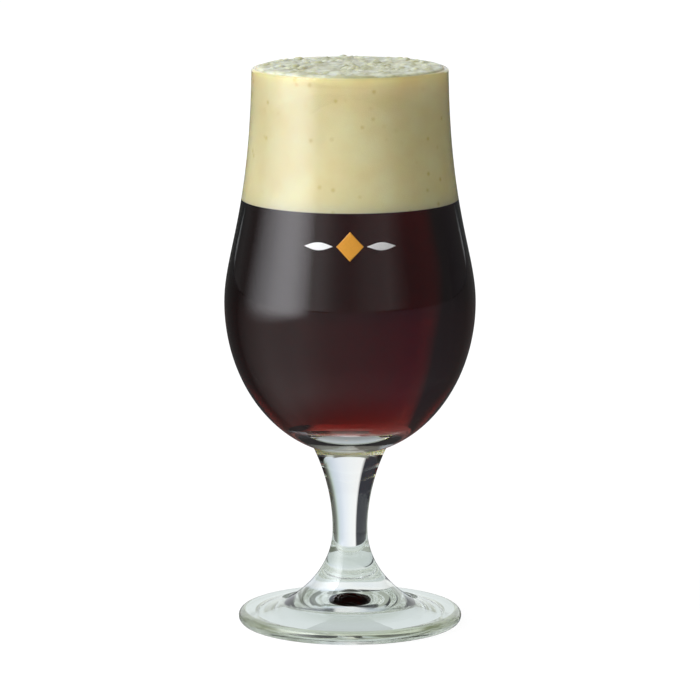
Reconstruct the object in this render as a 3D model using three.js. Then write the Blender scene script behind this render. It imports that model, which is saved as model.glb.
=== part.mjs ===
// A footed beer glass filled with dark beer under a deep head of foam.
// Millimetres, +Z up. The foot rests on z = 0, the axis of the glass is Z, and the printed side faces -Y.
import * as THREE from "three";

// A reach is the length of a curve's handle: how far that end of the curve keeps its direction.
// Foot
const FOOT_DIAMETER = 71.2;
const FOOT_EDGE_THICKNESS = 4.3;
const FOOT_THICKNESS = 6.2; // under the stem
const FOOT_TOP_KNEE_RUN = 4.5; // the foot's top stays steep this far out from the stem
const FOOT_TOP_KNEE_DROP = 1.6; // and falls this far by then
const RESTING_RING_WIDTH = 3.5; // the flat ring on the underside that touches the table
const HOLLOW_DEPTH = 10.4; // the coned hollow inside that ring, which rises into the stem
const HOLLOW_TOP_REACH = 6;
const HOLLOW_EDGE_REACH_IN = 10;
const HOLLOW_EDGE_REACH_UP = 5;

// Stem
const STEM_LENGTH = 50.8;
const STEM_BASE_DIAMETER = 43.4;
const STEM_WAIST_DIAMETER = 11.1;
const STEM_WAIST_RISE = 24; // from the foot up to the waist
const STEM_TOP_DIAMETER = 23.6;
const STEM_BASE_REACH_IN = 4;
const STEM_BASE_REACH_UP = 1.56;
const STEM_WAIST_REACH_DOWN = 13.8;
const STEM_WAIST_REACH_UP = 2.4;
const STEM_TOP_REACH_IN = 6.3;
const STEM_TOP_REACH_DOWN = 13;

// Bowl
const BOWL_LOWER_HEIGHT = 46.6; // from the stem up to the belly
const BOWL_UPPER_HEIGHT = 74.4; // from the belly up to the rim
const BELLY_DIAMETER = 79.7;
const BELLY_WALL = 1.8;
const RIM_DIAMETER = 62;
const RIM_WALL = 1.5;
const BOWL_BASE_THICKNESS = 8.5; // glass on the axis, above the stem
const BOWL_FLOOR_REACH = 27; // inside, from the axis out
const BELLY_REACH_DOWN = 24; // inside
const BELLY_REACH_UP = 15.5;
const RIM_REACH_DOWN = 45.2;
const RIM_REACH_OUT = 0.6;

// Beer and foam
const FOAM_DEPTH = 41.3; // from the rim down to the beer
const FOAM_CROWN = 1; // how far the foam stands above the rim
const FOAM_EDGE_DROP = 1.4; // the foam leaves the wall this far below the rim
const FOAM_EDGE_ROUND = 6; // width of the foam's rounded shoulder
const WALL_CLEARANCE = 0.3; // between the glass and what fills it

// Printed ornament
const PRINT_ABOVE_BELLY = 22.9;
const PRINT_THICKNESS = 0.15;
const PRINT_CLEARANCE = 0.1;
const LOZENGE_WIDTH = 8.4;
const LOZENGE_HEIGHT = 9;
const LEAF_LENGTH = 9;
const LEAF_HEIGHT = 2.4;
const LEAF_GAP = 1.2; // between the lozenge's corner and a leaf
const PRINT_TIP = 0.3; // height of a blunt tip

// Fineness of the round and curved surfaces
const ROUND_SEGMENTS = 48;
const CURVE_STEPS = 10;
const EDGE_STEPS = 6;
const RIM_STEPS = 4;
const PRINT_COLUMNS = 8;
const PRINT_ROWS = 4;

// Heights and radii that follow from the sizes above
const STEM_BASE_Z = FOOT_THICKNESS;
const WAIST_Z = STEM_BASE_Z + STEM_WAIST_RISE;
const STEM_TOP_Z = STEM_BASE_Z + STEM_LENGTH;
const BELLY_Z = STEM_TOP_Z + BOWL_LOWER_HEIGHT;
const RIM_Z = BELLY_Z + BOWL_UPPER_HEIGHT;
const BEER_Z = RIM_Z - FOAM_DEPTH;
const PRINT_Z = BELLY_Z + PRINT_ABOVE_BELLY;
const FOOT_RADIUS = FOOT_DIAMETER / 2;
const STEM_BASE_RADIUS = STEM_BASE_DIAMETER / 2;
const STEM_WAIST_RADIUS = STEM_WAIST_DIAMETER / 2;
const STEM_TOP_RADIUS = STEM_TOP_DIAMETER / 2;
const BELLY_RADIUS = BELLY_DIAMETER / 2;
const RIM_RADIUS = RIM_DIAMETER / 2;

// Profiles are lists of points (radius, height), drawn outwards along the bottom and up the outside.
const point = (radius, height) => new THREE.Vector2(radius, height);

function cubic(start, startHandle, endHandle, end) {
  return new THREE.CubicBezierCurve(start, startHandle, endHandle, end).getPoints(CURVE_STEPS);
}

// The curve from the belly up to the rim
function upperCurve(bellyRadius, rimRadius) {
  const top = RIM_Z - RIM_WALL / 2;
  return cubic(
    point(bellyRadius, BELLY_Z),
    point(bellyRadius, BELLY_Z + BELLY_REACH_UP),
    point(rimRadius + RIM_REACH_OUT, top - RIM_REACH_DOWN),
    point(rimRadius, top),
  );
}

function radiusAt(profile, height) {
  const above = profile.findIndex((p) => p.y >= height);
  const low = profile[above - 1];
  const high = profile[above];
  return THREE.MathUtils.mapLinear(height, low.y, high.y, low.x, high.x);
}

// Outside of the bowl: its lower ellipse passes through the stem's top edge.
const lowerDepth = BOWL_LOWER_HEIGHT / Math.sqrt(1 - (STEM_TOP_RADIUS / BELLY_RADIUS) ** 2);
const seamAngle = -Math.acos(STEM_TOP_RADIUS / BELLY_RADIUS);
const bowlOutside = [
  ...new THREE.EllipseCurve(0, BELLY_Z, BELLY_RADIUS, lowerDepth, seamAngle, 0).getPoints(CURVE_STEPS),
  ...upperCurve(BELLY_RADIUS, RIM_RADIUS).slice(1),
];

// Inside of the bowl, from the axis up to the rim, drawn in by an offset for what fills it
function bowlInside(offset) {
  const radius = BELLY_RADIUS - BELLY_WALL - offset;
  const floorZ = STEM_TOP_Z + BOWL_BASE_THICKNESS + offset;
  const lower = cubic(
    point(0, floorZ),
    point(BOWL_FLOOR_REACH, floorZ),
    point(radius, BELLY_Z - BELLY_REACH_DOWN),
    point(radius, BELLY_Z),
  );
  return [...lower, ...upperCurve(radius, RIM_RADIUS - RIM_WALL - offset).slice(1)];
}

// The hollow under the foot, from the axis out to the resting ring, and where it crosses the stem's seam
const edgeRound = FOOT_EDGE_THICKNESS / 2;
const edgeCentre = FOOT_RADIUS - edgeRound;
const hollowRadius = edgeCentre - RESTING_RING_WIDTH;
const hollow = cubic(
  point(0, HOLLOW_DEPTH),
  point(HOLLOW_TOP_REACH, HOLLOW_DEPTH),
  point(hollowRadius - HOLLOW_EDGE_REACH_IN, HOLLOW_EDGE_REACH_UP),
  point(hollowRadius, 0),
);
const seamInside = point(radiusAt([...hollow].reverse(), STEM_BASE_Z), STEM_BASE_Z);

function bowlProfile() {
  const middle = RIM_RADIUS - RIM_WALL / 2;
  const rim = new THREE.EllipseCurve(middle, RIM_Z - RIM_WALL / 2, RIM_WALL / 2, RIM_WALL / 2, 0, Math.PI)
    .getPoints(RIM_STEPS)
    .slice(1, -1);
  return [point(0, STEM_TOP_Z), ...bowlOutside, ...rim, ...bowlInside(0).reverse()];
}

function stemProfile() {
  const waist = point(STEM_WAIST_RADIUS, WAIST_Z);
  const flare = cubic(
    point(STEM_BASE_RADIUS, STEM_BASE_Z),
    point(STEM_BASE_RADIUS - STEM_BASE_REACH_IN, STEM_BASE_Z + STEM_BASE_REACH_UP),
    point(STEM_WAIST_RADIUS, WAIST_Z - STEM_WAIST_REACH_DOWN),
    waist,
  );
  const neck = cubic(
    waist,
    point(STEM_WAIST_RADIUS, WAIST_Z + STEM_WAIST_REACH_UP),
    point(STEM_TOP_RADIUS - STEM_TOP_REACH_IN, STEM_TOP_Z - STEM_TOP_REACH_DOWN),
    point(STEM_TOP_RADIUS, STEM_TOP_Z),
  );
  const underside = hollow.filter((p) => p.y > STEM_BASE_Z);
  return [...underside, seamInside, ...flare, ...neck.slice(1), point(0, STEM_TOP_Z)];
}

function footProfile() {
  const underside = hollow.filter((p) => p.y < STEM_BASE_Z);
  const edge = new THREE.EllipseCurve(edgeCentre, edgeRound, edgeRound, edgeRound, -Math.PI / 2, Math.PI / 2)
    .getPoints(EDGE_STEPS);
  const top = new THREE.QuadraticBezierCurve(
    point(edgeCentre, FOOT_EDGE_THICKNESS),
    point(STEM_BASE_RADIUS + FOOT_TOP_KNEE_RUN, STEM_BASE_Z - FOOT_TOP_KNEE_DROP),
    point(STEM_BASE_RADIUS, STEM_BASE_Z),
  ).getPoints(EDGE_STEPS);
  return [seamInside, ...underside, ...edge, ...top.slice(1), seamInside];
}

function beerProfile() {
  const wall = bowlInside(WALL_CLEARANCE);
  const wetted = wall.filter((p) => p.y < BEER_Z);
  return [...wetted, point(radiusAt(wall, BEER_Z), BEER_Z), point(0, BEER_Z)];
}

function foamProfile() {
  const wall = bowlInside(WALL_CLEARANCE);
  const shoulderZ = RIM_Z - FOAM_EDGE_DROP;
  const shoulderRadius = radiusAt(wall, shoulderZ);
  const covered = wall.filter((p) => p.y > BEER_Z && p.y < shoulderZ);
  const crownZ = RIM_Z + FOAM_CROWN;
  const top = cubic(
    point(shoulderRadius, shoulderZ),
    point(shoulderRadius, crownZ),
    point(shoulderRadius - FOAM_EDGE_ROUND, crownZ),
    point(0, crownZ),
  );
  return [point(0, BEER_Z), point(radiusAt(wall, BEER_Z), BEER_Z), ...covered, ...top];
}

// A printed film on the bowl: columns run round the bowl from startArc, and rows run up it.
function printFilm(startArc, width, halfHeightAt) {
  const bowlRadius = radiusAt(bowlOutside, PRINT_Z);
  const positions = [];
  const faces = [];
  for (const lift of [PRINT_CLEARANCE, PRINT_CLEARANCE + PRINT_THICKNESS]) {
    for (let column = 0; column <= PRINT_COLUMNS; column += 1) {
      const along = column / PRINT_COLUMNS;
      const angle = (startArc + width * along) / bowlRadius - Math.PI / 2;
      const halfHeight = Math.max(halfHeightAt(along), PRINT_TIP / 2);
      for (let row = 0; row <= PRINT_ROWS; row += 1) {
        const height = PRINT_Z + halfHeight * ((2 * row) / PRINT_ROWS - 1);
        const radius = radiusAt(bowlOutside, height) + lift;
        positions.push(radius * Math.cos(angle), radius * Math.sin(angle), height);
      }
    }
  }
  const layerSize = (PRINT_COLUMNS + 1) * (PRINT_ROWS + 1);
  const index = (layer, column, row) => layer * layerSize + column * (PRINT_ROWS + 1) + row;
  const quad = (a, b, c, d) => faces.push(a, b, c, a, c, d);
  for (let column = 0; column < PRINT_COLUMNS; column += 1) {
    const next = column + 1;
    for (let row = 0; row < PRINT_ROWS; row += 1) {
      quad(index(1, column, row), index(1, next, row), index(1, next, row + 1), index(1, column, row + 1));
      quad(index(0, column, row), index(0, column, row + 1), index(0, next, row + 1), index(0, next, row));
    }
    quad(index(0, column, 0), index(0, next, 0), index(1, next, 0), index(1, column, 0));
    quad(
      index(1, column, PRINT_ROWS),
      index(1, next, PRINT_ROWS),
      index(0, next, PRINT_ROWS),
      index(0, column, PRINT_ROWS),
    );
  }
  for (let row = 0; row < PRINT_ROWS; row += 1) {
    quad(index(0, 0, row), index(1, 0, row), index(1, 0, row + 1), index(0, 0, row + 1));
    quad(
      index(1, PRINT_COLUMNS, row),
      index(0, PRINT_COLUMNS, row),
      index(0, PRINT_COLUMNS, row + 1),
      index(1, PRINT_COLUMNS, row + 1),
    );
  }
  const geometry = new THREE.BufferGeometry();
  geometry.setAttribute("position", new THREE.Float32BufferAttribute(positions, 3));
  geometry.setIndex(faces);
  geometry.computeVertexNormals();
  return geometry;
}

const lozengeHalfHeight = (along) => (LOZENGE_HEIGHT / 2) * (1 - Math.abs(2 * along - 1));
const leafHalfHeight = (along) => (LEAF_HEIGHT / 2) * Math.sin(Math.PI * along);

// Turned pieces: the lathe turns a profile about Y, and the turn about X stands its axis up along Z.
function turned(profile) {
  return new THREE.LatheGeometry(profile, ROUND_SEGMENTS).rotateX(Math.PI / 2);
}

function clearGlass() {
  return new THREE.MeshStandardMaterial({
    color: 0xe3eae8,
    roughness: 0.04,
    metalness: 0,
    transparent: true,
    opacity: 0.35,
  });
}

function opaque(color, roughness) {
  return new THREE.MeshStandardMaterial({ color, roughness, metalness: 0 });
}

function named(name, geometry, material) {
  const mesh = new THREE.Mesh(geometry, material);
  mesh.name = name;
  return mesh;
}

const AMBER_INK = 0xe8a028;
const WHITE_INK = 0xf4f3ee;
const leafStart = LOZENGE_WIDTH / 2 + LEAF_GAP;

const glass = new THREE.Group();
glass.add(
  named("foot", turned(footProfile()), clearGlass()),
  named("stem", turned(stemProfile()), clearGlass()),
  named("bowl", turned(bowlProfile()), clearGlass()),
);

const contents = new THREE.Group();
contents.add(
  named("beer", turned(beerProfile()), opaque(0x2b100c, 0.08)),
  named("foam_head", turned(foamProfile()), opaque(0xeee3c3, 0.85)),
);

const ornament = new THREE.Group();
ornament.add(
  named(
    "print_lozenge",
    printFilm(-LOZENGE_WIDTH / 2, LOZENGE_WIDTH, lozengeHalfHeight),
    opaque(AMBER_INK, 0.4),
  ),
  named(
    "print_leaf_left",
    printFilm(-leafStart - LEAF_LENGTH, LEAF_LENGTH, leafHalfHeight),
    opaque(WHITE_INK, 0.4),
  ),
  named(
    "print_leaf_right",
    printFilm(leafStart, LEAF_LENGTH, leafHalfHeight),
    opaque(WHITE_INK, 0.4),
  ),
);

const beerGlass = new THREE.Group();
beerGlass.add(glass, contents, ornament);

export default beerGlass;
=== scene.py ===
import math
import random

import bpy
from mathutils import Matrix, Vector, noise


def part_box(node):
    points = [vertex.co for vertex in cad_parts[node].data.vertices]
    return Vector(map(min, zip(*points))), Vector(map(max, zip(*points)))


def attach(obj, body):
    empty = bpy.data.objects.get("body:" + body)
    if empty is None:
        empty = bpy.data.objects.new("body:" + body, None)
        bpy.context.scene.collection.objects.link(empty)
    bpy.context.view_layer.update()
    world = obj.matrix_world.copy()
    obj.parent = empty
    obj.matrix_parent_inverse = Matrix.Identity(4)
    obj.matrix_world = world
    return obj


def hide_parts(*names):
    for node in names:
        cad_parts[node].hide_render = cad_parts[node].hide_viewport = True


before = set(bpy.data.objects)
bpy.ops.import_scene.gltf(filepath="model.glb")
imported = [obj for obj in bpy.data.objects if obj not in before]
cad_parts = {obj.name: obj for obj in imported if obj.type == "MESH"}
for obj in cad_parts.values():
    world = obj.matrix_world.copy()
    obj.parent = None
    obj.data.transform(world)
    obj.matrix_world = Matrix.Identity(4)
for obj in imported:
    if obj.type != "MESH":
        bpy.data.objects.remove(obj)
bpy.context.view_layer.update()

MM = 0.001


def top_and_radius(node):
    """Highest point and radius of a turned node, in millimetres."""
    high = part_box(node)[1]
    return high.z / MM, high.x / MM


# Sizes read from the frame
FOOT_TOP_Z, FOOT_RADIUS = top_and_radius("foot")
STEM_TOP_Z, STEM_BASE_RADIUS = top_and_radius("stem")
RIM_Z, BELLY_RADIUS = top_and_radius("bowl")
BEER_Z = top_and_radius("beer")[0]
CROWN_Z = top_and_radius("foam_head")[0]
PRINT_LOW, PRINT_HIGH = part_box("print_lozenge")
PRINT_Z = (PRINT_LOW.z + PRINT_HIGH.z) / 2 / MM

# Foot
FOOT_EDGE_THICKNESS = 4.3
FOOT_TOP_KNEE_RUN = 4.5
FOOT_TOP_KNEE_DROP = 1.6
RESTING_RING_WIDTH = 3.5
HOLLOW_DEPTH = 10.4
HOLLOW_TOP_REACH = 6
HOLLOW_EDGE_REACH_IN = 10
HOLLOW_EDGE_REACH_UP = 5

# Stem
STEM_WAIST_RADIUS = 5.55
STEM_WAIST_RISE = 24
STEM_TOP_RADIUS = 11.8
STEM_BASE_REACH_IN = 4
STEM_BASE_REACH_UP = 1.56
STEM_WAIST_REACH_DOWN = 13.8
STEM_WAIST_REACH_UP = 2.4
STEM_TOP_REACH_IN = 6.3
STEM_TOP_REACH_DOWN = 13

# Bowl
BELLY_Z = STEM_TOP_Z + 46.6
BELLY_WALL = 1.8
RIM_RADIUS = 31
RIM_WALL = 1.5
BOWL_BASE_THICKNESS = 8.5
BOWL_FLOOR_REACH = 27
BELLY_REACH_DOWN = 24
BELLY_REACH_UP = 15.5
RIM_REACH_DOWN = 45.2
RIM_REACH_OUT = 0.6

# What fills the bowl
BEER_GAP = 0.02
FOAM_WETTING = 0.03
FOAM_SINK = 0.4
FOAM_EDGE_DROP = 1.0
FOAM_EDGE_ROUND = 3.2
FOAM_LUMPS = 0.3
FOAM_WAVE_HEIGHT = 0.35
FOAM_WAVE_LENGTH = 7.0
FOAM_WAVE_SLICE = 3.1
FOAM_WAVE_FALL = 1.0
FOAM_WAVE_STEP = 2.0
FOAM_WAVE_LAYERS = 3
BUBBLE_SEED = 7
BUBBLES = 520
BUBBLE_SPREAD = 27.0
BUBBLE_LEAST_RADIUS = 0.6
BUBBLE_RADIUS_RANGE = 1.9
BUBBLE_SMALLNESS = 3
BUBBLE_SINK = 0.72

# Printed ornament
LOZENGE_WIDTH = 8.4
LOZENGE_HEIGHT = 9
LEAF_LENGTH = 9
LEAF_HEIGHT = 2.4
LEAF_GAP = 1.2
INK_LIFT = 0.02
INK_THICKNESS = 0.08
INK_TIP = 0.12

# Fineness
GLASS_SEGMENTS = 160
CURVE_STEPS = 48
EDGE_STEPS = 24
FOAM_SEGMENTS = 400
FOAM_SIDE_ROWS = 84
FOAM_SWELL_ROWS = 14
FOAM_TOP_ROWS = 60
INK_COLUMNS = 40
INK_ROWS = 16
ON_AXIS = 1e-6

# Camera, in metres: the photograph's, from a fit to the outline of the glass
CAMERA_DISTANCE = 1.4773
CAMERA_HEIGHT = 0.3411
CAMERA_PITCH_DEG = 9.72
CAMERA_CLIP_END = 50
SENSOR_WIDTH_MM = 36
LENS_MM = 242.9

# Optics
GLASS_REFRACTION = 1.5
BEER_REFRACTION = 1.345
BEER_TINT = (0.70, 0.22, 0.14, 1)
BEER_DENSITY = 150
GLASS_TINT = (0.965, 0.975, 0.955, 1)
GLASS_SHADOW_TINT = (0.93, 0.95, 0.94, 1)
# Olive tint of the thick glass edges, painted shade
EDGE_PAINTED_SHADE = (0.54, 0.57, 0.40, 1)
EDGE_ALPHA = 0.92
UNDER_EDGE_TINT = (0.93, 0.95, 0.88, 1)
FLARE_TINT = (0.91, 0.93, 0.90, 1)
FLARE_TINT_TOP_Z = 22
# Light goes round many times inside the thick foot before it comes out
MAX_BOUNCES = 24
GLOSSY_BOUNCES = 20
TRANSMISSION_BOUNCES = 24

# Places of the glass materials on each glass piece, after the clear glass
SEAM = 1
WETTED = 2
SHADED_EDGE = 3
UNDER_EDGE = 4
FLARE = 5

# Surface of the glass: texture scales are repeats in a metre, and depths are metres
SMEAR_SCALE = 45
SMEAR_DETAIL = 3
SMEAR_RANGE = (0.45, 0.8)
SMEAR_ROUGHNESS = 0.03
GLASS_WAVE_SCALE = 60
GLASS_WAVE_DETAIL = 1
GLASS_WAVE_STRENGTH = 0.06
GLASS_WAVE_DEPTH = 0.0004

# Surface of the foam
FOAM_SCATTER_WEIGHT = 0.85
FOAM_SCATTER_RADIUS = (1.0, 0.8, 0.35)
FOAM_SCATTER_SCALE = 0.006
FOAM_CLOUD_SCALE = 110
FOAM_CLOUD_DETAIL = 4
FOAM_CLOUD_RANGE = (0.3, 0.7)
FOAM_DEEP = (0.90, 0.785, 0.43)
FOAM_PALE = (0.95, 0.865, 0.54)
FOAM_ROUGHNESS = 0.6
FROTH_SCALE = 2200
FROTH_STRENGTH = 0.12
FROTH_DEPTH = 0.0002
SPOT_SCALE = 250
SPOT_EDGE = (0.06, 0.28)
SPOT_PEAK = 0.5
SPOT_CHOICE = (0.30, 0.90)
SPOT_COLOUR = (0.62, 0.49, 0.03)
STREAK_SCALE = 260
STREAK_DETAIL = 3
STREAK_RANGE = (0.35, 0.65)
# The wet film on top, its colours darkened partly as painted shade
FILM_DARK_AND_SHADE = (0.34, 0.335, 0.20)
FILM_PALE_AND_SHADE = (0.55, 0.56, 0.42)
FILM_ROUGHNESS = 0.4
FILM_BELOW_RIM = 1.0
FILM_ABOVE_RIM = 0.3

# Ink
AMBER_INK = (0.82, 0.36, 0.03)
WHITE_INK = (0.92, 0.91, 0.88)
INK_ROUGHNESS = 0.42
INK_GRAIN_SCALE = 1800
INK_GRAIN_DETAIL = 2
INK_GRAIN_RANGE = (0.25, 0.75)
INK_GRAIN_SHADE = 0.9

# Light, in metres and in multiples of white
SOFTBOX_X = -0.425
SOFTBOX_Y = -0.245
SOFTBOX_WIDTH = 0.84
SOFTBOX_HEIGHT = 0.85
SOFTBOX_BASE_Z = 0.001
SOFTBOX_FADE = 0.10
SOFTBOX_PEAK = 4.2
SOFTBOX_COLOUR = (1.0, 1.0, 1.05, 1)
SOFTBOX_TOP_GAIN = 1.5
SOFTBOX_TOP_FADE = (0.35, 0.6)
FLOOR_SIZE = 6.0
FLOOR_Z = -0.0001
FLOOR_GREY = 0.10
FLOOR_GLOW_NEAR = 0.94
FLOOR_GLOW_FAR = 1.0
FLOOR_GLOW_REACH = (0.1, 0.7)

# What is round the glass: colours by bearing in degrees, clockwise from behind it, in patterns that
# come round again. The room lights the object and shines in its surface, above the same room's floor.
ROOM = [
    (-180, (0.27, 0.27, 0.28)),
    (-170, (0.36, 0.36, 0.37)),
    (-162, (0.56, 0.56, 0.57)),
    (-150, (1.00, 1.00, 1.00)),
    (-140, (1.00, 1.00, 1.00)),
    (-130, (0.55, 0.55, 0.55)),
    (-95, (0.13, 0.13, 0.13)),
    (-50, (0.15, 0.15, 0.15)),
    (-38, (0.08, 0.08, 0.08)),
    (-28, (0.92, 0.95, 0.98)),
    (28, (0.92, 0.95, 0.98)),
    (38, (0.08, 0.08, 0.08)),
    (60, (0.11, 0.11, 0.12)),
    (122, (0.16, 0.16, 0.17)),
    (132, (0.34, 0.34, 0.34)),
    (143, (0.60, 0.60, 0.60)),
    (162, (0.46, 0.46, 0.47)),
    (180, (0.27, 0.27, 0.28)),
]
# Its upper part is brightest and coolest over the softbox.
ROOM_TOP = [
    (-180, (0.42, 0.42, 0.38)),
    (-140, (1.05, 1.12, 1.25)),
    (-110, (2.15, 2.35, 2.75)),
    (-70, (2.40, 2.62, 3.05)),
    (-40, (1.60, 1.70, 1.90)),
    (0, (0.42, 0.42, 0.38)),
    (40, (0.19, 0.18, 0.14)),
    (140, (0.17, 0.16, 0.12)),
    (180, (0.42, 0.42, 0.38)),
]
# The room's floor, seen only in the glass's surface, has painted light: lighter towards the softbox and dark
# behind the glass
ROOM_FLOOR_PAINTED_LIGHT = [
    (-180, (0.40, 0.38, 0.42)),
    (-162, (0.46, 0.45, 0.47)),
    (-133, (0.72, 0.70, 0.71)),
    (-100, (0.62, 0.60, 0.60)),
    (-82, (0.34, 0.33, 0.33)),
    (-57, (0.06, 0.06, 0.06)),
    (50, (0.08, 0.08, 0.08)),
    (82, (0.18, 0.17, 0.19)),
    (100, (0.26, 0.25, 0.28)),
    (122, (0.24, 0.22, 0.30)),
    (143, (0.33, 0.30, 0.36)),
    (180, (0.40, 0.38, 0.42)),
]
# The backdrop, under a pale ceiling, is what clear glass and beer show of the room.
BACKDROP = [
    (-40, (0.06, 0.06, 0.06)),
    (-25, (0.06, 0.06, 0.06)),
    (-20, (0.72, 0.70, 0.60)),
    (0, (0.68, 0.67, 0.58)),
    (8, (0.50, 0.49, 0.42)),
    (14, (0.32, 0.31, 0.26)),
    (22, (0.22, 0.22, 0.20)),
    (36, (0.10, 0.10, 0.10)),
    (50, (0.06, 0.06, 0.06)),
]
CEILING = (0.85, 0.88, 0.86)
# Heights over which the room's walls give way to its top, as sines of the elevation
ROOM_FADE = (0.5, 0.72)
BACKDROP_FADE = (0.27, 0.45)
# What clear glass shows of the floor, out to the backdrop's pattern
FLOOR_SHADE = (0.60, 0.67, 0.65)
FLOOR_PALE = (0.64, 0.71, 0.71)
SHADE_REACH = (0.010, 0.022)
PALE_REACH = (0.09, 0.14)
FAR_FLOOR_REACH = (0.45, 1.2)
FAR_FLOOR_DIM = 0.5

# Cards close round the glass, as edges of (radius, height) in millimetres, and their colours by bearing
STEM_COLLAR_EDGES = ((30, 9), (30, 68))
STEM_COLLAR = [
    (-180, (0.70, 0.76, 0.74)),
    (-125, (0.60, 0.66, 0.62)),
    (-115, (0.40, 0.44, 0.39)),
    (-56, (0.40, 0.44, 0.39)),
    (-50, (0.032, 0.034, 0.042)),
    (-10.6, (0.032, 0.034, 0.042)),
    (-9.4, (1.0, 1.0, 1.0)),
    (0, (0.94, 0.97, 1.0)),
    (7, (0.84, 0.89, 0.97)),
    (14, (0.69, 0.76, 0.86)),
    (21, (0.60, 0.69, 0.74)),
    (25, (0.48, 0.57, 0.52)),
    (28, (0.26, 0.30, 0.26)),
    (34, (0.12, 0.13, 0.11)),
    (48, (0.06, 0.06, 0.05)),
    (52, (0.15, 0.17, 0.13)),
    (115, (0.15, 0.17, 0.13)),
    (125, (0.60, 0.66, 0.62)),
    (180, (0.70, 0.76, 0.74)),
]
BAND_CARD_EDGES = ((24, 60.4), (24, 63.4))
BAND_CARD = [
    (-180, (0.70, 0.76, 0.74)),
    (-56, (0.70, 0.76, 0.74)),
    (-50, (0.032, 0.034, 0.042)),
    (-10.6, (0.032, 0.034, 0.042)),
    (-8, (0.30, 0.31, 0.27)),
    (-1, (0.33, 0.34, 0.29)),
    (0, (0.42, 0.43, 0.37)),
    (1.5, (0.28, 0.27, 0.23)),
    (4, (0.20, 0.19, 0.16)),
    (7, (0.20, 0.20, 0.17)),
    (9, (0.76, 0.82, 0.90)),
    (21, (0.60, 0.69, 0.74)),
    (25, (0.48, 0.57, 0.52)),
    (28, (0.26, 0.30, 0.26)),
    (34, (0.12, 0.13, 0.11)),
    (48, (0.06, 0.06, 0.05)),
    (55, (0.70, 0.76, 0.74)),
    (180, (0.70, 0.76, 0.74)),
]
FOOT_COLLAR_EDGES = ((55, 0.5), (55, 55))
FOOT_COLLAR = [
    (-90, (0.74, 0.80, 0.78)),
    (-72, (0.70, 0.76, 0.72)),
    (-62, (0.36, 0.40, 0.32)),
    (-48, (0.36, 0.40, 0.32)),
    (-38, (0.74, 0.80, 0.78)),
    (38, (0.74, 0.80, 0.78)),
    (48, (0.36, 0.40, 0.32)),
    (62, (0.36, 0.40, 0.32)),
    (72, (0.70, 0.76, 0.72)),
    (90, (0.74, 0.80, 0.78)),
]
RIM_CARD_EDGES = ((25.4, 7.2), (29.8, 7.2))
RIM_CARD = [
    (-180, (0.74, 0.81, 0.76)),
    (-125, (0.74, 0.81, 0.76)),
    (-115, (0.32, 0.36, 0.26)),
    (-72, (0.32, 0.36, 0.26)),
    (-58, (0.76, 0.83, 0.78)),
    (58, (0.76, 0.83, 0.78)),
    (72, (0.25, 0.28, 0.18)),
    (115, (0.25, 0.28, 0.18)),
    (125, (0.74, 0.81, 0.76)),
    (180, (0.74, 0.81, 0.76)),
]
NECK_CARD_EDGES = ((29.5, 48), (9, 48))
NECK_CARD = [
    (-90, (0.24, 0.25, 0.26)),
    (-25, (0.24, 0.25, 0.26)),
    (-9, (0.54, 0.56, 0.57)),
    (0, (0.52, 0.57, 0.60)),
    (9, (0.47, 0.52, 0.56)),
    (22, (0.32, 0.33, 0.34)),
    (90, (0.24, 0.25, 0.26)),
]
NECK_FADE = (0.011, 0.022)
NECK_NEAR = (0.28, 0.30, 0.31)
ROOM_FLOOR_EDGES = (
    (2500, 7),
    (22.3, 7),
    (19.5, 8.6),
    (16.5, 10.9),
    (13, 14.7),
    (10, 19.5),
    (7.5, 30),
    (9.5, 47),
)
# Painted shadow of the glass on the room's floor, close round the axis
ROOM_FLOOR_SHADOW_REACH = (0.03, 0.09)
ROOM_FLOOR_SHADOW = (0.15, 0.145, 0.15)


def cubic(start, start_handle, end_handle, end, steps=CURVE_STEPS):
    points = []
    for step in range(steps + 1):
        t = step / steps
        weights = ((1 - t) ** 3, 3 * (1 - t) ** 2 * t, 3 * (1 - t) * t * t, t ** 3)
        corners = (start, start_handle, end_handle, end)
        points.append(tuple(sum(w * c[k] for w, c in zip(weights, corners)) for k in (0, 1)))
    return points


def quadratic(start, handle, end, steps):
    first = tuple(s + 2 / 3 * (h - s) for s, h in zip(start, handle))
    second = tuple(e + 2 / 3 * (h - e) for e, h in zip(end, handle))
    return cubic(start, first, second, end, steps)


def arc(centre, reach_out, reach_up, from_angle, to_angle, steps):
    points = []
    for step in range(steps + 1):
        angle = from_angle + (to_angle - from_angle) * step / steps
        points.append((centre[0] + reach_out * math.cos(angle), centre[1] + reach_up * math.sin(angle)))
    return points


def upper_curve(belly_radius, rim_radius):
    top = RIM_Z - RIM_WALL / 2
    return cubic(
        (belly_radius, BELLY_Z),
        (belly_radius, BELLY_Z + BELLY_REACH_UP),
        (rim_radius + RIM_REACH_OUT, top - RIM_REACH_DOWN),
        (rim_radius, top),
    )


def bowl_outside():
    lower_depth = (BELLY_Z - STEM_TOP_Z) / math.sqrt(1 - (STEM_TOP_RADIUS / BELLY_RADIUS) ** 2)
    seam_angle = -math.acos(STEM_TOP_RADIUS / BELLY_RADIUS)
    lower = arc((0, BELLY_Z), BELLY_RADIUS, lower_depth, seam_angle, 0, CURVE_STEPS)
    return lower + upper_curve(BELLY_RADIUS, RIM_RADIUS)[1:]


def bowl_inside(offset):
    """The bowl's inner surface from the axis to the rim, moved inwards by an offset."""
    radius = BELLY_RADIUS - BELLY_WALL - offset
    floor_z = STEM_TOP_Z + BOWL_BASE_THICKNESS + offset
    lower = cubic(
        (0, floor_z),
        (BOWL_FLOOR_REACH, floor_z),
        (radius, BELLY_Z - BELLY_REACH_DOWN),
        (radius, BELLY_Z),
    )
    return lower + upper_curve(radius, RIM_RADIUS - RIM_WALL - offset)[1:]


def radius_at(profile, height):
    for (low_radius, low), (high_radius, high) in zip(profile, profile[1:]):
        if low <= height <= high:
            return low_radius + (high_radius - low_radius) * (height - low) / (high - low)
    raise ValueError(f"the profile has no height {height}")


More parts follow.
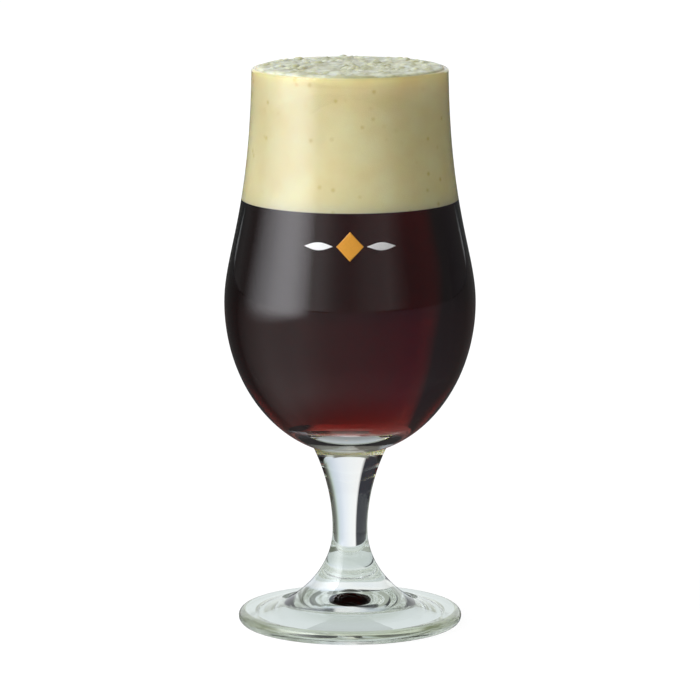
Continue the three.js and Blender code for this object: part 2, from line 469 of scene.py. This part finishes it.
def new_object(name, vertices, faces, *materials):
    mesh = bpy.data.meshes.new(name)
    mesh.from_pydata([Vector(v) * MM for v in vertices], [], faces)
    mesh.polygons.foreach_set("use_smooth", [True] * len(faces))
    for material in materials:
        mesh.materials.append(material)
    mesh.update()
    piece = bpy.data.objects.new(name, mesh)
    bpy.context.scene.collection.objects.link(piece)
    return piece


def turned(name, profile, segments, sharp_points, materials, span_materials=None, closed=False):
    """A turned piece. Spans of the profile take the material that span_materials gives, or the first."""
    vertices = []
    rings = []
    for radius, height in profile:
        if radius < ON_AXIS:
            rings.append([len(vertices)] * segments)
            vertices.append((0, 0, height))
        else:
            rings.append(list(range(len(vertices), len(vertices) + segments)))
            for step in range(segments):
                angle = 2 * math.pi * step / segments
                vertices.append((radius * math.cos(angle), radius * math.sin(angle), height))
    faces = []
    face_materials = []
    next_rings = rings[1:] + rings[:1] if closed else rings[1:]
    for span, (low, high) in enumerate(zip(rings, next_rings)):
        for step in range(segments):
            after = (step + 1) % segments
            corners = (low[step], low[after], high[after], high[step])
            faces.append(tuple(dict.fromkeys(corners)))
            face_materials.append((span_materials or {}).get(span, 0))
    piece = new_object(name, vertices, faces, *materials)
    piece.data.polygons.foreach_set("material_index", face_materials)
    sharp = [set(rings[point]) for point in sharp_points]
    for edge in piece.data.edges:
        if any(edge.vertices[0] in ring and edge.vertices[1] in ring for ring in sharp):
            edge.use_edge_sharp = True
    return piece


def finished(piece, slot, *nodes):
    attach(piece, "root")
    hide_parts(*nodes)


# Shader nodes
class Nodes:
    """The node tree of a material or world, with short ways to add and link nodes."""

    def __init__(self, owner):
        owner.use_nodes = True
        self.tree = owner.node_tree
        self.tree.nodes.clear()

    def add(self, kind, **settings):
        node = self.tree.nodes.new("ShaderNode" + kind)
        for name, value in settings.items():
            setattr(node, name, value)
        return node

    def link(self, output, target):
        self.tree.links.new(output, target)

    def show(self, shader):
        """Make a shader the material's surface; gives the output node."""
        output = self.add("OutputMaterial")
        self.link(shader.outputs[0], output.inputs["Surface"])
        return output


def principled(nodes, **values):
    shader = nodes.add("BsdfPrincipled")
    for name, value in values.items():
        shader.inputs[name.replace("_", " ")].default_value = value
    return shader


def mixed_shader(nodes, factor, first, second):
    mix = nodes.add("MixShader")
    nodes.link(factor, mix.inputs[0])
    nodes.link(first.outputs[0], mix.inputs[1])
    nodes.link(second.outputs[0], mix.inputs[2])
    return mix


def added_shaders(nodes, first, second):
    both = nodes.add("AddShader")
    nodes.link(first.outputs[0], both.inputs[0])
    nodes.link(second.outputs[0], both.inputs[1])
    return both


def coordinates(nodes, kind="Object"):
    """Nodes for X, Y and Z, by default a point's own in its piece; gives the node that has them."""
    place = nodes.add("TexCoord")
    parts = nodes.add("SeparateXYZ")
    nodes.link(place.outputs[kind], parts.inputs[0])
    return parts


def distance_from_axis(nodes, parts):
    flat = nodes.add("CombineXYZ")
    nodes.link(parts.outputs["X"], flat.inputs["X"])
    nodes.link(parts.outputs["Y"], flat.inputs["Y"])
    length = nodes.add("VectorMath", operation="LENGTH")
    nodes.link(flat.outputs[0], length.inputs[0])
    return length.outputs["Value"]


def object_texture(nodes, kind, scale, detail=None):
    """A texture in a piece's own coordinates; gives its node."""
    place = nodes.add("TexCoord")
    texture = nodes.add(kind)
    texture.inputs["Scale"].default_value = scale
    if detail is not None:
        texture.inputs["Detail"].default_value = detail
    nodes.link(place.outputs["Object"], texture.inputs["Vector"])
    return texture


def product(nodes, first, second):
    multiply = nodes.add("Math", operation="MULTIPLY")
    nodes.link(first, multiply.inputs[0])
    nodes.link(second, multiply.inputs[1])
    return multiply.outputs[0]


def smooth_step(nodes, value, start, end, first=0.0, last=1.0, kind="SMOOTHSTEP"):
    """Nodes that take a value from first to last between start and end; gives the result's socket."""
    step = nodes.add("MapRange", interpolation_type=kind)
    step.inputs["From Min"].default_value = start
    step.inputs["From Max"].default_value = end
    step.inputs["To Min"].default_value = first
    step.inputs["To Max"].default_value = last
    nodes.link(value, step.inputs["Value"])
    return step.outputs["Result"]


def straight_step(*settings):
    return smooth_step(*settings, kind="LINEAR")


def two_tone(nodes, value, positions, colours):
    """Nodes that turn a value into a colour between two; gives the colour's socket."""
    ramp = nodes.add("ValToRGB")
    for element, position, colour in zip(ramp.color_ramp.elements, positions, colours):
        element.position = position
        element.color = (*colour, 1)
    nodes.link(value, ramp.inputs["Fac"])
    return ramp.outputs["Color"]


def bearing_colour(nodes, x, y, stops):
    """Nodes for a colour by bearing about the axis of the glass; gives the colour's socket."""
    start = math.radians(stops[0][0])
    end = math.radians(stops[-1][0])
    bearing = nodes.add("Math", operation="ARCTAN2")
    nodes.link(x, bearing.inputs[0])
    nodes.link(y, bearing.inputs[1])
    folded = nodes.add("Math", operation="WRAP")
    folded.inputs[1].default_value = end
    folded.inputs[2].default_value = start
    nodes.link(bearing.outputs[0], folded.inputs[0])
    share = straight_step(nodes, folded.outputs[0], start, end)
    ramp = nodes.add("ValToRGB")
    while len(ramp.color_ramp.elements) < len(stops):
        ramp.color_ramp.elements.new(0.5)
    for element, (degrees, colour) in zip(ramp.color_ramp.elements, stops):
        element.position = (math.radians(degrees) - start) / (end - start)
        element.color = (*colour, 1)
    nodes.link(share, ramp.inputs["Fac"])
    return ramp.outputs["Color"]


def mixed_colour(nodes, factor, first, second):
    """Nodes that mix two colours, each a socket or a value; gives the mixed colour's socket."""
    mix = nodes.add("Mix", data_type="RGBA")
    colour_inputs = [s for s in mix.inputs if s.type == "RGBA"]
    for end, colour in zip(colour_inputs, (first, second)):
        if isinstance(colour, bpy.types.NodeSocket):
            nodes.link(colour, end)
        else:
            end.default_value = (*colour, 1)
    factor_input = next(s for s in mix.inputs if s.name == "Factor" and s.type == "VALUE")
    nodes.link(factor, factor_input)
    return next(s for s in mix.outputs if s.type == "RGBA")


def add_bumps(nodes, shader, height, strength, depth):
    bump = nodes.add("Bump")
    bump.inputs["Strength"].default_value = strength
    bump.inputs["Distance"].default_value = depth
    nodes.link(height, bump.inputs["Height"])
    nodes.link(bump.outputs["Normal"], shader.inputs["Normal"])


# Materials
def clear_glass(name, refraction, colour=GLASS_TINT, alpha=1.0):
    material = bpy.data.materials.new(name)
    nodes = Nodes(material)
    shader = principled(nodes, Transmission_Weight=1.0, IOR=refraction, Base_Color=colour, Alpha=alpha)
    smears = object_texture(nodes, "TexNoise", SMEAR_SCALE, SMEAR_DETAIL)
    roughness = straight_step(nodes, smears.outputs["Fac"], *SMEAR_RANGE, 0.0, SMEAR_ROUGHNESS)
    nodes.link(roughness, shader.inputs["Roughness"])
    waves = object_texture(nodes, "TexNoise", GLASS_WAVE_SCALE, GLASS_WAVE_DETAIL)
    add_bumps(nodes, shader, waves.outputs["Fac"], GLASS_WAVE_STRENGTH, GLASS_WAVE_DEPTH)
    # Light falls through the clear wall onto what is behind it
    through = nodes.add("BsdfTransparent")
    through.inputs["Color"].default_value = GLASS_SHADOW_TINT
    path = nodes.add("LightPath")
    nodes.show(mixed_shader(nodes, path.outputs["Is Shadow Ray"], shader, through))
    return material


def fused_seam():
    """Where two pieces of glass are melted together, light passes as through one."""
    material = bpy.data.materials.new("fused_seam")
    nodes = Nodes(material)
    nodes.show(nodes.add("BsdfTransparent"))
    return material


def dark_beer():
    """It only takes up light: the wetted glass round it does the bending."""
    material = bpy.data.materials.new("dark_beer")
    nodes = Nodes(material)
    shader = principled(nodes, Transmission_Weight=1.0, IOR=1.0, Roughness=0.0, Base_Color=(1, 1, 1, 1))
    absorb = nodes.add("VolumeAbsorption")
    absorb.inputs["Color"].default_value = BEER_TINT
    absorb.inputs["Density"].default_value = BEER_DENSITY
    output = nodes.show(shader)
    nodes.link(absorb.outputs[0], output.inputs["Volume"])
    return material


def beer_foam():
    material = bpy.data.materials.new("beer_foam")
    nodes = Nodes(material)
    shader = principled(
        nodes,
        Subsurface_Weight=FOAM_SCATTER_WEIGHT,
        Subsurface_Radius=FOAM_SCATTER_RADIUS,
        Subsurface_Scale=FOAM_SCATTER_SCALE,
    )
    clouds = object_texture(nodes, "TexNoise", FOAM_CLOUD_SCALE, FOAM_CLOUD_DETAIL)
    cream = two_tone(nodes, clouds.outputs["Fac"], FOAM_CLOUD_RANGE, (FOAM_DEEP, FOAM_PALE))

    # Bubbles that lie against the wall show as small ochre spots
    spots = object_texture(nodes, "TexVoronoi", SPOT_SCALE)
    spot = smooth_step(nodes, spots.outputs["Distance"], *SPOT_EDGE, SPOT_PEAK, 0.0)
    cell = nodes.add("SeparateColor")
    nodes.link(spots.outputs["Color"], cell.inputs[0])
    some = smooth_step(nodes, cell.outputs[0], *SPOT_CHOICE)
    spotted = mixed_colour(nodes, product(nodes, spot, some), cream, SPOT_COLOUR)

    # The wet film on top is streaked and glossier, and darker partly by its own colour and partly as painted
    # shade
    streaks = object_texture(nodes, "TexNoise", STREAK_SCALE, STREAK_DETAIL)
    streak = smooth_step(nodes, streaks.outputs["Fac"], *STREAK_RANGE)
    film = mixed_colour(nodes, streak, FILM_DARK_AND_SHADE, FILM_PALE_AND_SHADE)
    height = coordinates(nodes).outputs["Z"]
    wet_and_shaded = smooth_step(nodes, height, (RIM_Z - FILM_BELOW_RIM) * MM, (RIM_Z + FILM_ABOVE_RIM) * MM)
    nodes.link(mixed_colour(nodes, wet_and_shaded, spotted, film), shader.inputs["Base Color"])
    roughness = straight_step(nodes, wet_and_shaded, 0.0, 1.0, FOAM_ROUGHNESS, FILM_ROUGHNESS)
    nodes.link(roughness, shader.inputs["Roughness"])

    froth = object_texture(nodes, "TexVoronoi", FROTH_SCALE)
    add_bumps(nodes, shader, froth.outputs["Distance"], FROTH_STRENGTH, FROTH_DEPTH)
    nodes.show(shader)
    return material


def fired_ink(name, colour):
    material = bpy.data.materials.new(name)
    nodes = Nodes(material)
    shader = principled(nodes, Roughness=INK_ROUGHNESS)
    grain = object_texture(nodes, "TexNoise", INK_GRAIN_SCALE, INK_GRAIN_DETAIL)
    shaded = [c * INK_GRAIN_SHADE for c in colour]
    tint = two_tone(nodes, grain.outputs["Fac"], INK_GRAIN_RANGE, (shaded, colour))
    nodes.link(tint, shader.inputs["Base Color"])
    nodes.show(shader)
    return material


# Camera
def make_camera():
    camera = bpy.data.objects.new("camera", bpy.data.cameras.new("camera"))
    camera.data.sensor_width = SENSOR_WIDTH_MM
    camera.data.lens = LENS_MM
    camera.location = (0, -CAMERA_DISTANCE, CAMERA_HEIGHT)
    camera.rotation_euler = (math.radians(90 - CAMERA_PITCH_DEG), 0, 0)
    camera.data.clip_end = CAMERA_CLIP_END
    bpy.context.scene.collection.objects.link(camera)
    bpy.context.scene.camera = camera


# Glass
def make_glass():
    glass = clear_glass("clear_glass", GLASS_REFRACTION)
    wetted = clear_glass("wetted_glass", GLASS_REFRACTION / BEER_REFRACTION)
    # Thick edges let a little of the light that would otherwise go round inside them pass straight through.
    # The upper half of the foot's round edge and the stem's top edge are also tinted olive, painted shade;
    # the lower half of the foot's edge is tinted a little.
    shaded_edge_glass = clear_glass("shaded_edge_glass", GLASS_REFRACTION, EDGE_PAINTED_SHADE, EDGE_ALPHA)
    under_edge_glass = clear_glass("under_edge_glass", GLASS_REFRACTION, UNDER_EDGE_TINT)
    flare_glass = clear_glass("flare_glass", GLASS_REFRACTION, FLARE_TINT)
    materials = (glass, fused_seam(), wetted, shaded_edge_glass, under_edge_glass, flare_glass)
    edge_round = FOOT_EDGE_THICKNESS / 2
    edge_centre = FOOT_RADIUS - edge_round
    hollow_radius = edge_centre - RESTING_RING_WIDTH
    hollow = cubic(
        (0, HOLLOW_DEPTH),
        (HOLLOW_TOP_REACH, HOLLOW_DEPTH),
        (hollow_radius - HOLLOW_EDGE_REACH_IN, HOLLOW_EDGE_REACH_UP),
        (hollow_radius, 0),
    )
    seam_inside = (radius_at(hollow[::-1], FOOT_TOP_Z), FOOT_TOP_Z)

    underside = [seam_inside] + [p for p in hollow if p[1] < FOOT_TOP_Z]
    edge = arc((edge_centre, edge_round), edge_round, edge_round, -math.pi / 2, math.pi / 2, EDGE_STEPS)
    knee = (STEM_BASE_RADIUS + FOOT_TOP_KNEE_RUN, FOOT_TOP_Z - FOOT_TOP_KNEE_DROP)
    top = quadratic((edge_centre, FOOT_EDGE_THICKNESS), knee, (STEM_BASE_RADIUS, FOOT_TOP_Z), EDGE_STEPS)
    foot = underside + edge + top[1:]
    last = len(foot) - 1
    sharp = [0, len(underside) - 1, last]
    span_materials = {last: SEAM}
    # The upper half of the round edge is tinted olive as painted shade
    for span in range(len(underside) - 1, len(underside) + EDGE_STEPS):
        span_materials[span] = UNDER_EDGE if foot[span][1] < edge_round else SHADED_EDGE
    piece = turned("glass_foot", foot, GLASS_SEGMENTS, sharp, materials, span_materials, closed=True)
    finished(piece, "clear_glass", "foot")

    waist = (STEM_WAIST_RADIUS, FOOT_TOP_Z + STEM_WAIST_RISE)
    flare = cubic(
        (STEM_BASE_RADIUS, FOOT_TOP_Z),
        (STEM_BASE_RADIUS - STEM_BASE_REACH_IN, FOOT_TOP_Z + STEM_BASE_REACH_UP),
        (waist[0], waist[1] - STEM_WAIST_REACH_DOWN),
        waist,
    )
    neck = cubic(
        waist,
        (waist[0], waist[1] + STEM_WAIST_REACH_UP),
        (STEM_TOP_RADIUS - STEM_TOP_REACH_IN, STEM_TOP_Z - STEM_TOP_REACH_DOWN),
        (STEM_TOP_RADIUS, STEM_TOP_Z),
    )
    underside = [p for p in hollow if p[1] > FOOT_TOP_Z] + [seam_inside]
    stem = underside + flare + neck[1:] + [(0, STEM_TOP_Z)]
    seam = len(underside) - 1
    last = len(stem) - 2
    sharp = [seam, seam + 1, last]
    # The stem's top edge is tinted olive as painted shade
    span_materials = {seam: SEAM, last - 1: SHADED_EDGE, last: SEAM}
    for span in range(seam + 1, last - 1):
        if stem[span][1] < FLARE_TINT_TOP_Z:
            span_materials[span] = FLARE
    piece = turned("glass_stem", stem, GLASS_SEGMENTS, sharp, materials, span_materials)
    finished(piece, "clear_glass", "stem")

    rim_round = RIM_WALL / 2
    rim_centre = (RIM_RADIUS - rim_round, RIM_Z - rim_round)
    rim = arc(rim_centre, rim_round, rim_round, 0, math.pi, EDGE_STEPS)
    inside = bowl_inside(0)
    inside.append((radius_at(inside, BEER_Z), BEER_Z))
    inside.sort(key=lambda p: p[1])
    bowl = [(0, STEM_TOP_Z)] + bowl_outside() + rim[1:-1] + inside[::-1]
    span_materials = {0: SEAM}
    for span in range(len(bowl) - len(inside), len(bowl) - 1):
        if bowl[span][1] <= BEER_Z:
            span_materials[span] = WETTED
    piece = turned("glass_bowl", bowl, GLASS_SEGMENTS, [1], materials, span_materials)
    finished(piece, "clear_glass", "bowl")


# Beer
def make_beer():
    wall = bowl_inside(BEER_GAP)
    wetted = [p for p in wall if p[1] < BEER_Z]
    profile = wetted + [(radius_at(wall, BEER_Z), BEER_Z), (0, BEER_Z)]
    piece = turned("dark_beer", profile, GLASS_SEGMENTS, [len(profile) - 2], [dark_beer()])
    finished(piece, "dark_beer", "beer")


# Foam
def top_bubbles():
    """Centres, heights and radii of the coarse bubbles on the foam, most of them small."""
    draw = random.Random(BUBBLE_SEED)
    bubbles = []
    for _ in range(BUBBLES):
        angle = draw.uniform(0, 2 * math.pi)
        distance = BUBBLE_SPREAD * math.sqrt(draw.random())
        radius = BUBBLE_LEAST_RADIUS + BUBBLE_RADIUS_RANGE * draw.random() ** BUBBLE_SMALLNESS
        sunk = -BUBBLE_SINK * radius
        bubbles.append((distance * math.cos(angle), distance * math.sin(angle), sunk, radius))
    return bubbles


def foam_wave(x, y):
    """Height of the foam's gentle waves at a place on its top."""
    place = Vector((x, y, FOAM_WAVE_SLICE)) / FOAM_WAVE_LENGTH
    return FOAM_WAVE_HEIGHT * noise.fractal(place, FOAM_WAVE_FALL, FOAM_WAVE_STEP, FOAM_WAVE_LAYERS)


def make_foam():
    wall_profile = bowl_inside(-FOAM_WETTING)
    shoulder_z = RIM_Z - FOAM_EDGE_DROP
    shoulder_radius = radius_at(wall_profile, shoulder_z)
    bottom_z = BEER_Z - FOAM_SINK
    side = []
    for row in range(FOAM_SIDE_ROWS + 1):
        height = bottom_z + (shoulder_z - bottom_z) * row / FOAM_SIDE_ROWS
        side.append((radius_at(wall_profile, height), height))
    level_z = CROWN_Z - FOAM_LUMPS
    level_radius = shoulder_radius - FOAM_EDGE_ROUND
    swell = cubic(
        (shoulder_radius, shoulder_z),
        (shoulder_radius, level_z),
        (shoulder_radius - FOAM_EDGE_ROUND / 3, level_z),
        (level_radius, level_z),
        FOAM_SWELL_ROWS,
    )
    top = [(level_radius * (1 - row / FOAM_TOP_ROWS), level_z) for row in range(1, FOAM_TOP_ROWS + 1)]
    profile = [(0, bottom_z)] + side + swell[1:] + top
    piece = turned("foam_head", profile, FOAM_SEGMENTS, [1], [beer_foam()])
    bubbles = top_bubbles()
    for vertex in piece.data.vertices:
        x, y, z = vertex.co / MM
        if z <= shoulder_z:
            continue
        lift = foam_wave(x, y)
        for bubble_x, bubble_y, sunk, radius in bubbles:
            gap = radius * radius - (x - bubble_x) ** 2 - (y - bubble_y) ** 2
            if gap > 0:
                lift = max(lift, sunk + math.sqrt(gap))
        inwards = shoulder_radius - math.hypot(x, y)
        vertex.co.z += MM * lift * min(1.0, max(0.0, inwards / FOAM_EDGE_ROUND))
    finished(piece, "beer_foam", "foam_head")


# Printed ornament
def ink_film(name, start_arc, width, half_height_at, material, slot, node):
    """A film of ink on the bowl, with a half height for each share of its width."""
    outside = bowl_outside()
    bowl_radius = radius_at(outside, PRINT_Z)
    vertices = []
    for lift in (INK_LIFT, INK_LIFT + INK_THICKNESS):
        for column in range(INK_COLUMNS + 1):
            along = column / INK_COLUMNS
            angle = (start_arc + width * along) / bowl_radius - math.pi / 2
            half_height = half_height_at(along)
            for row in range(INK_ROWS + 1):
                height = PRINT_Z + half_height * (2 * row / INK_ROWS - 1)
                radius = radius_at(outside, height) + lift
                vertices.append((radius * math.cos(angle), radius * math.sin(angle), height))
    column_length = INK_ROWS + 1
    layer_length = (INK_COLUMNS + 1) * column_length
    faces = []

    def add_face(*corners):
        faces.append([layer * layer_length + column * column_length + row for layer, column, row in corners])

    for column in range(INK_COLUMNS):
        after = column + 1
        for row in range(INK_ROWS):
            up = row + 1
            add_face((1, column, row), (1, after, row), (1, after, up), (1, column, up))
            add_face((0, column, row), (0, column, up), (0, after, up), (0, after, row))
        add_face((0, column, 0), (0, after, 0), (1, after, 0), (1, column, 0))
        add_face((1, column, INK_ROWS), (1, after, INK_ROWS), (0, after, INK_ROWS), (0, column, INK_ROWS))
    for row in range(INK_ROWS):
        up = row + 1
        add_face((0, 0, row), (1, 0, row), (1, 0, up), (0, 0, up))
        add_face((1, INK_COLUMNS, row), (0, INK_COLUMNS, row), (0, INK_COLUMNS, up), (1, INK_COLUMNS, up))
    piece = new_object(name, vertices, faces, material)
    finished(piece, slot, node)


def make_print():
    amber = fired_ink("amber_ink", AMBER_INK)
    white = fired_ink("white_ink", WHITE_INK)

    def lozenge(along):
        return max(INK_TIP, LOZENGE_HEIGHT / 2 * (1 - abs(2 * along - 1)))

    def leaf(along):
        return max(INK_TIP, LEAF_HEIGHT / 2 * math.sin(math.pi * along))

    leaf_start = LOZENGE_WIDTH / 2 + LEAF_GAP
    left_start = -leaf_start - LEAF_LENGTH
    ink_film("ink_lozenge", -LOZENGE_WIDTH / 2, LOZENGE_WIDTH, lozenge, amber, "amber_ink", "print_lozenge")
    ink_film("ink_leaf_left", left_start, LEAF_LENGTH, leaf, white, "white_ink", "print_leaf_left")
    ink_film("ink_leaf_right", leaf_start, LEAF_LENGTH, leaf, white, "white_ink", "print_leaf_right")


# Studio
def stage_sheet(name, corners, material):
    mesh = bpy.data.meshes.new(name)
    mesh.from_pydata(corners, [], [(0, 1, 2, 3)])
    mesh.materials.append(material)
    card = bpy.data.objects.new(name, mesh)
    bpy.context.scene.collection.objects.link(card)
    return card


def make_floor():
    """White to the camera, and through clear glass a pale floor that runs out to the backdrop."""
    material = bpy.data.materials.new("floor")
    nodes = Nodes(material)
    parts = coordinates(nodes)
    distance = distance_from_axis(nodes, parts)

    matt = nodes.add("BsdfDiffuse")
    matt.inputs["Color"].default_value = (FLOOR_GREY, FLOOR_GREY, FLOOR_GREY, 1)
    camera_glow = nodes.add("Emission")
    white = smooth_step(nodes, distance, *FLOOR_GLOW_REACH, FLOOR_GLOW_NEAR, FLOOR_GLOW_FAR)
    nodes.link(white, camera_glow.inputs["Strength"])
    to_camera = added_shaders(nodes, matt, camera_glow)

    unshaded = smooth_step(nodes, distance, *SHADE_REACH)
    near = mixed_colour(nodes, unshaded, FLOOR_SHADE, FLOOR_PALE)
    backdrop = bearing_colour(nodes, parts.outputs["X"], parts.outputs["Y"], BACKDROP)
    brightness = smooth_step(nodes, distance, *FAR_FLOOR_REACH, FAR_FLOOR_DIM, 1.0)
    far = mixed_colour(nodes, brightness, (0, 0, 0), backdrop)
    shown = mixed_colour(nodes, smooth_step(nodes, distance, *PALE_REACH), near, far)
    glass_glow = nodes.add("Emission")
    nodes.link(shown, glass_glow.inputs["Color"])

    path = nodes.add("LightPath")
    plain = mixed_shader(nodes, path.outputs["Is Camera Ray"], matt, to_camera)
    nodes.show(mixed_shader(nodes, path.outputs["Is Transmission Ray"], plain, glass_glow))
    half = FLOOR_SIZE / 2
    corners = [
        (-half, -half, FLOOR_Z),
        (half, -half, FLOOR_Z),
        (half, half, FLOOR_Z),
        (-half, half, FLOOR_Z),
    ]
    stage_sheet("floor", corners, material)


def make_softbox():
    half_width = SOFTBOX_WIDTH / 2
    material = bpy.data.materials.new("softbox")
    nodes = Nodes(material)
    parts = coordinates(nodes)
    off_centre = nodes.add("Math", operation="SUBTRACT")
    off_centre.inputs[1].default_value = SOFTBOX_Y
    nodes.link(parts.outputs["Y"], off_centre.inputs[0])
    size = nodes.add("Math", operation="ABSOLUTE")
    nodes.link(off_centre.outputs[0], size.inputs[0])
    across = smooth_step(nodes, size.outputs[0], 0, half_width, SOFTBOX_PEAK, 0)
    upwards = smooth_step(nodes, parts.outputs["Z"], 0, SOFTBOX_FADE)
    gain = smooth_step(nodes, parts.outputs["Z"], *SOFTBOX_TOP_FADE, 1, SOFTBOX_TOP_GAIN)
    emission = nodes.add("Emission")
    emission.inputs["Color"].default_value = SOFTBOX_COLOUR
    level = product(nodes, across, upwards)
    nodes.link(product(nodes, level, gain), emission.inputs["Strength"])
    # The room shows through where the softbox fades
    nodes.show(added_shaders(nodes, emission, nodes.add("BsdfTransparent")))
    near = SOFTBOX_Y - half_width
    distant = SOFTBOX_Y + half_width
    corners = [
        (SOFTBOX_X, distant, SOFTBOX_BASE_Z),
        (SOFTBOX_X, near, SOFTBOX_BASE_Z),
        (SOFTBOX_X, near, SOFTBOX_HEIGHT),
        (SOFTBOX_X, distant, SOFTBOX_HEIGHT),
    ]
    card = stage_sheet("softbox", corners, material)
    card.visible_camera = False
    card.visible_transmission = False


def ring_card(name, edges, stops, fade=None, near=None, one_sided=False):
    """A ring of card round the glass, with a colour by bearing that may fade to another near the axis."""
    material = bpy.data.materials.new(name)
    nodes = Nodes(material)
    parts = coordinates(nodes)
    colour = bearing_colour(nodes, parts.outputs["X"], parts.outputs["Y"], stops)
    if fade:
        share = smooth_step(nodes, distance_from_axis(nodes, parts), *fade)
        colour = mixed_colour(nodes, share, near, colour)
    shader = nodes.add("Emission")
    nodes.link(colour, shader.inputs["Color"])
    if one_sided:
        side = nodes.add("NewGeometry")
        through = nodes.add("BsdfTransparent")
        shader = mixed_shader(nodes, side.outputs["Backfacing"], shader, through)
    nodes.show(shader)
    card = turned(name, edges, GLASS_SEGMENTS, [], [material])
    card.visible_camera = False
    card.visible_diffuse = False
    card.visible_shadow = False
    return card


def make_cards():
    """Cards that show through the clear glass, and the room's floor, which only shines in its surface and
    has painted light and a painted shadow near the glass.
    """
    through_glass = [
        ring_card("stem_collar", STEM_COLLAR_EDGES, STEM_COLLAR),
        ring_card("band_card", BAND_CARD_EDGES, BAND_CARD),
        ring_card("foot_collar", FOOT_COLLAR_EDGES, FOOT_COLLAR),
        ring_card("neck_card", NECK_CARD_EDGES, NECK_CARD, NECK_FADE, NECK_NEAR, one_sided=True),
        ring_card("rim_card", RIM_CARD_EDGES, RIM_CARD, one_sided=True),
    ]
    for card in through_glass:
        card.visible_glossy = False
    # The room's floor darkens near the glass as a painted shadow
    fade = (ROOM_FLOOR_SHADOW_REACH, ROOM_FLOOR_SHADOW)
    room_floor = ring_card("room_floor", ROOM_FLOOR_EDGES, ROOM_FLOOR_PAINTED_LIGHT, *fade, one_sided=True)
    room_floor.visible_transmission = False


def make_world():
    """White to the camera, the backdrop through glass, and otherwise a room that is lighter overhead."""
    world = bpy.data.worlds.new("studio")
    bpy.context.scene.world = world
    nodes = Nodes(world)
    parts = coordinates(nodes, "Generated")
    across, along, rise = (parts.outputs[axis] for axis in "XYZ")

    room = bearing_colour(nodes, across, along, ROOM)
    top = bearing_colour(nodes, across, along, ROOM_TOP)
    lighting = mixed_colour(nodes, smooth_step(nodes, rise, *ROOM_FADE), room, top)
    backdrop = bearing_colour(nodes, across, along, BACKDROP)
    through_glass = mixed_colour(nodes, smooth_step(nodes, rise, *BACKDROP_FADE), backdrop, CEILING)

    path = nodes.add("LightPath")
    around = mixed_colour(nodes, path.outputs["Is Transmission Ray"], lighting, through_glass)
    seen = mixed_colour(nodes, path.outputs["Is Camera Ray"], around, (1, 1, 1))
    background = nodes.add("Background")
    output = nodes.add("OutputWorld")
    nodes.link(seen, background.inputs["Color"])
    nodes.link(background.outputs[0], output.inputs["Surface"])


make_camera()
make_glass()
make_beer()
make_foam()
make_print()
make_floor()
make_softbox()
make_cards()
make_world()
bpy.context.scene.view_settings.view_transform = "Standard"
bpy.context.scene.cycles.max_bounces = MAX_BOUNCES
bpy.context.scene.cycles.glossy_bounces = GLOSSY_BOUNCES
bpy.context.scene.cycles.transmission_bounces = TRANSMISSION_BOUNCES
